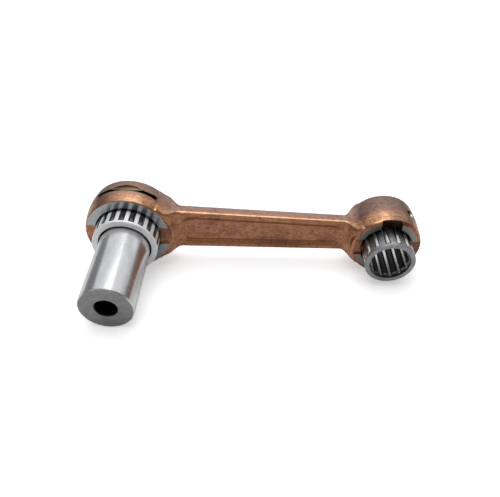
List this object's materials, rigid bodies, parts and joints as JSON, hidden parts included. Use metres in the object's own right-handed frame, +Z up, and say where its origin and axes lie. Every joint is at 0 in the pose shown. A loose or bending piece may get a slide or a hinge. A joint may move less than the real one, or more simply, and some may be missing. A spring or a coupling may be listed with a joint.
{
  "type": "connecting rod",
  "caption": "Forged I-section connecting rod with its crank pin and caged needle bearings slid part way out of the two eyes.",
  "frame": {"origin": "on the axis of the big-end bore and of the crank pin's through-hole, half way through the rod's width", "axes": "+X along the rod to the small end, +Y along both bores, away from the crank pin's free end, +Z up, towards the oil slot"},
  "size_m": [0.1373, 0.0556, 0.0358],
  "materials": {
    "copper_plated_forging": "copper-plated steel forging, satin, rubbed bright on its edges, with ground thrust faces",
    "ground_pin": "hardened steel, ground and polished",
    "bright_cage": "silver-bright machined cage, satin",
    "grey_cage": "matt grey phosphated cage",
    "roller_steel": "polished bearing steel"
  },
  "bodies": {
    "rod": {"rod": "copper_plated_forging"},
    "big_end_cage": {"big_end_cage": "bright_cage"},
    "crank_pin": {"crank_pin": "ground_pin"},
    "big_end_roller_01": {"big_end_roller_01": "roller_steel"},
    "big_end_roller_02": {"big_end_roller_02": "roller_steel"},
    "big_end_roller_03": {"big_end_roller_03": "roller_steel"},
    "big_end_roller_04": {"big_end_roller_04": "roller_steel"},
    "big_end_roller_05": {"big_end_roller_05": "roller_steel"},
    "big_end_roller_06": {"big_end_roller_06": "roller_steel"},
    "big_end_roller_07": {"big_end_roller_07": "roller_steel"},
    "big_end_roller_08": {"big_end_roller_08": "roller_steel"},
    "big_end_roller_09": {"big_end_roller_09": "roller_steel"},
    "big_end_roller_10": {"big_end_roller_10": "roller_steel"},
    "big_end_roller_11": {"big_end_roller_11": "roller_steel"},
    "big_end_roller_12": {"big_end_roller_12": "roller_steel"},
    "big_end_roller_13": {"big_end_roller_13": "roller_steel"},
    "big_end_roller_14": {"big_end_roller_14": "roller_steel"},
    "big_end_roller_15": {"big_end_roller_15": "roller_steel"},
    "big_end_roller_16": {"big_end_roller_16": "roller_steel"},
    "big_end_roller_17": {"big_end_roller_17": "roller_steel"},
    "big_end_roller_18": {"big_end_roller_18": "roller_steel"},
    "big_end_roller_19": {"big_end_roller_19": "roller_steel"},
    "big_end_roller_20": {"big_end_roller_20": "roller_steel"},
    "big_end_roller_21": {"big_end_roller_21": "roller_steel"},
    "small_end_cage": {"small_end_cage": "grey_cage"},
    "small_end_needle_01": {"small_end_needle_01": "roller_steel"},
    "small_end_needle_02": {"small_end_needle_02": "roller_steel"},
    "small_end_needle_03": {"small_end_needle_03": "roller_steel"},
    "small_end_needle_04": {"small_end_needle_04": "roller_steel"},
    "small_end_needle_05": {"small_end_needle_05": "roller_steel"},
    "small_end_needle_06": {"small_end_needle_06": "roller_steel"},
    "small_end_needle_07": {"small_end_needle_07": "roller_steel"},
    "small_end_needle_08": {"small_end_needle_08": "roller_steel"},
    "small_end_needle_09": {"small_end_needle_09": "roller_steel"},
    "small_end_needle_10": {"small_end_needle_10": "roller_steel"},
    "small_end_needle_11": {"small_end_needle_11": "roller_steel"},
    "small_end_needle_12": {"small_end_needle_12": "roller_steel"},
    "small_end_needle_13": {"small_end_needle_13": "roller_steel"},
    "small_end_needle_14": {"small_end_needle_14": "roller_steel"}
  },
  "joints": [
    {"name": "big_end_bearing_slide", "type": "slide", "parent": "rod", "child": "big_end_cage", "axis": [0, 1, 0], "range_m": [-0.006, 0.0075]},
    {"name": "crank_pin_spin", "type": "hinge", "parent": "big_end_cage", "child": "crank_pin", "pos_m": [0, 0, 0], "axis": [0, 1, 0], "continuous": true},
    {"name": "small_end_bearing_slide", "type": "slide", "parent": "rod", "child": "small_end_cage", "axis": [0, 1, 0], "range_m": [-0.01, 0.0081]},
    {"name": "big_end_roller_01_spin", "type": "hinge", "parent": "big_end_cage", "child": "big_end_roller_01", "pos_m": [0, 0, 0.0115], "axis": [0, 1, 0], "continuous": true},
    {"name": "big_end_roller_02_spin", "type": "hinge", "parent": "big_end_cage", "child": "big_end_roller_02", "pos_m": [-0.00339, 0, 0.01099], "axis": [0, 1, 0], "continuous": true},
    {"name": "big_end_roller_03_spin", "type": "hinge", "parent": "big_end_cage", "child": "big_end_roller_03", "pos_m": [-0.00648, 0, 0.0095], "axis": [0, 1, 0], "continuous": true},
    {"name": "big_end_roller_04_spin", "type": "hinge", "parent": "big_end_cage", "child": "big_end_roller_04", "pos_m": [-0.00899, 0, 0.00717], "axis": [0, 1, 0], "continuous": true},
    {"name": "big_end_roller_05_spin", "type": "hinge", "parent": "big_end_cage", "child": "big_end_roller_05", "pos_m": [-0.0107, 0, 0.0042], "axis": [0, 1, 0], "continuous": true},
    {"name": "big_end_roller_06_spin", "type": "hinge", "parent": "big_end_cage", "child": "big_end_roller_06", "pos_m": [-0.01147, 0, 0.00086], "axis": [0, 1, 0], "continuous": true},
    {"name": "big_end_roller_07_spin", "type": "hinge", "parent": "big_end_cage", "child": "big_end_roller_07", "pos_m": [-0.01121, 0, -0.00256], "axis": [0, 1, 0], "continuous": true},
    {"name": "big_end_roller_08_spin", "type": "hinge", "parent": "big_end_cage", "child": "big_end_roller_08", "pos_m": [-0.00996, 0, -0.00575], "axis": [0, 1, 0], "continuous": true},
    {"name": "big_end_roller_09_spin", "type": "hinge", "parent": "big_end_cage", "child": "big_end_roller_09", "pos_m": [-0.00782, 0, -0.00843], "axis": [0, 1, 0], "continuous": true},
    {"name": "big_end_roller_10_spin", "type": "hinge", "parent": "big_end_cage", "child": "big_end_roller_10", "pos_m": [-0.00499, 0, -0.01036], "axis": [0, 1, 0], "continuous": true},
    {"name": "big_end_roller_11_spin", "type": "hinge", "parent": "big_end_cage", "child": "big_end_roller_11", "pos_m": [-0.00171, 0, -0.01137], "axis": [0, 1, 0], "continuous": true},
    {"name": "big_end_roller_12_spin", "type": "hinge", "parent": "big_end_cage", "child": "big_end_roller_12", "pos_m": [0.00171, 0, -0.01137], "axis": [0, 1, 0], "continuous": true},
    {"name": "big_end_roller_13_spin", "type": "hinge", "parent": "big_end_cage", "child": "big_end_roller_13", "pos_m": [0.00499, 0, -0.01036], "axis": [0, 1, 0], "continuous": true},
    {"name": "big_end_roller_14_spin", "type": "hinge", "parent": "big_end_cage", "child": "big_end_roller_14", "pos_m": [0.00782, 0, -0.00843], "axis": [0, 1, 0], "continuous": true},
    {"name": "big_end_roller_15_spin", "type": "hinge", "parent": "big_end_cage", "child": "big_end_roller_15", "pos_m": [0.00996, 0, -0.00575], "axis": [0, 1, 0], "continuous": true},
    {"name": "big_end_roller_16_spin", "type": "hinge", "parent": "big_end_cage", "child": "big_end_roller_16", "pos_m": [0.01121, 0, -0.00256], "axis": [0, 1, 0], "continuous": true},
    {"name": "big_end_roller_17_spin", "type": "hinge", "parent": "big_end_cage", "child": "big_end_roller_17", "pos_m": [0.01147, 0, 0.00086], "axis": [0, 1, 0], "continuous": true},
    {"name": "big_end_roller_18_spin", "type": "hinge", "parent": "big_end_cage", "child": "big_end_roller_18", "pos_m": [0.0107, 0, 0.0042], "axis": [0, 1, 0], "continuous": true},
    {"name": "big_end_roller_19_spin", "type": "hinge", "parent": "big_end_cage", "child": "big_end_roller_19", "pos_m": [0.00899, 0, 0.00717], "axis": [0, 1, 0], "continuous": true},
    {"name": "big_end_roller_20_spin", "type": "hinge", "parent": "big_end_cage", "child": "big_end_roller_20", "pos_m": [0.00648, 0, 0.0095], "axis": [0, 1, 0], "continuous": true},
    {"name": "big_end_roller_21_spin", "type": "hinge", "parent": "big_end_cage", "child": "big_end_roller_21", "pos_m": [0.00339, 0, 0.01099], "axis": [0, 1, 0], "continuous": true},
    {"name": "small_end_needle_01_spin", "type": "hinge", "parent": "small_end_cage", "child": "small_end_needle_01", "pos_m": [0.10667, 0, 0.00884], "axis": [0, 1, 0], "continuous": true},
    {"name": "small_end_needle_02_spin", "type": "hinge", "parent": "small_end_cage", "child": "small_end_needle_02", "pos_m": [0.10267, 0, 0.00869], "axis": [0, 1, 0], "continuous": true},
    {"name": "small_end_needle_03_spin", "type": "hinge", "parent": "small_end_cage", "child": "small_end_needle_03", "pos_m": [0.09913, 0, 0.00682], "axis": [0, 1, 0], "continuous": true},
    {"name": "small_end_needle_04_spin", "type": "hinge", "parent": "small_end_cage", "child": "small_end_needle_04", "pos_m": [0.09675, 0, 0.0036], "axis": [0, 1, 0], "continuous": true},
    {"name": "small_end_needle_05_spin", "type": "hinge", "parent": "small_end_cage", "child": "small_end_needle_05", "pos_m": [0.09601, 0, -0.00034], "axis": [0, 1, 0], "continuous": true},
    {"name": "small_end_needle_06_spin", "type": "hinge", "parent": "small_end_cage", "child": "small_end_needle_06", "pos_m": [0.09704, 0, -0.00421], "axis": [0, 1, 0], "continuous": true},
    {"name": "small_end_needle_07_spin", "type": "hinge", "parent": "small_end_cage", "child": "small_end_needle_07", "pos_m": [0.09966, 0, -0.00724], "axis": [0, 1, 0], "continuous": true},
    {"name": "small_end_needle_08_spin", "type": "hinge", "parent": "small_end_cage", "child": "small_end_needle_08", "pos_m": [0.10333, 0, -0.00884], "axis": [0, 1, 0], "continuous": true},
    {"name": "small_end_needle_09_spin", "type": "hinge", "parent": "small_end_cage", "child": "small_end_needle_09", "pos_m": [0.10733, 0, -0.00869], "axis": [0, 1, 0], "continuous": true},
    {"name": "small_end_needle_10_spin", "type": "hinge", "parent": "small_end_cage", "child": "small_end_needle_10", "pos_m": [0.11087, 0, -0.00682], "axis": [0, 1, 0], "continuous": true},
    {"name": "small_end_needle_11_spin", "type": "hinge", "parent": "small_end_cage", "child": "small_end_needle_11", "pos_m": [0.11325, 0, -0.0036], "axis": [0, 1, 0], "continuous": true},
    {"name": "small_end_needle_12_spin", "type": "hinge", "parent": "small_end_cage", "child": "small_end_needle_12", "pos_m": [0.11399, 0, 0.00034], "axis": [0, 1, 0], "continuous": true},
    {"name": "small_end_needle_13_spin", "type": "hinge", "parent": "small_end_cage", "child": "small_end_needle_13", "pos_m": [0.11296, 0, 0.00421], "axis": [0, 1, 0], "continuous": true},
    {"name": "small_end_needle_14_spin", "type": "hinge", "parent": "small_end_cage", "child": "small_end_needle_14", "pos_m": [0.11034, 0, 0.00724], "axis": [0, 1, 0], "continuous": true}
  ],
  "couplings": [
    {"joint": "big_end_roller_01_spin", "follows": "crank_pin_spin", "ratio": -6.6667},
    {"joint": "big_end_roller_02_spin", "follows": "crank_pin_spin", "ratio": -6.6667},
    {"joint": "big_end_roller_03_spin", "follows": "crank_pin_spin", "ratio": -6.6667},
    {"joint": "big_end_roller_04_spin", "follows": "crank_pin_spin", "ratio": -6.6667},
    {"joint": "big_end_roller_05_spin", "follows": "crank_pin_spin", "ratio": -6.6667},
    {"joint": "big_end_roller_06_spin", "follows": "crank_pin_spin", "ratio": -6.6667},
    {"joint": "big_end_roller_07_spin", "follows": "crank_pin_spin", "ratio": -6.6667},
    {"joint": "big_end_roller_08_spin", "follows": "crank_pin_spin", "ratio": -6.6667},
    {"joint": "big_end_roller_09_spin", "follows": "crank_pin_spin", "ratio": -6.6667},
    {"joint": "big_end_roller_10_spin", "follows": "crank_pin_spin", "ratio": -6.6667},
    {"joint": "big_end_roller_11_spin", "follows": "crank_pin_spin", "ratio": -6.6667},
    {"joint": "big_end_roller_12_spin", "follows": "crank_pin_spin", "ratio": -6.6667},
    {"joint": "big_end_roller_13_spin", "follows": "crank_pin_spin", "ratio": -6.6667},
    {"joint": "big_end_roller_14_spin", "follows": "crank_pin_spin", "ratio": -6.6667},
    {"joint": "big_end_roller_15_spin", "follows": "crank_pin_spin", "ratio": -6.6667},
    {"joint": "big_end_roller_16_spin", "follows": "crank_pin_spin", "ratio": -6.6667},
    {"joint": "big_end_roller_17_spin", "follows": "crank_pin_spin", "ratio": -6.6667},
    {"joint": "big_end_roller_18_spin", "follows": "crank_pin_spin", "ratio": -6.6667},
    {"joint": "big_end_roller_19_spin", "follows": "crank_pin_spin", "ratio": -6.6667},
    {"joint": "big_end_roller_20_spin", "follows": "crank_pin_spin", "ratio": -6.6667},
    {"joint": "big_end_roller_21_spin", "follows": "crank_pin_spin", "ratio": -6.6667}
  ]
}
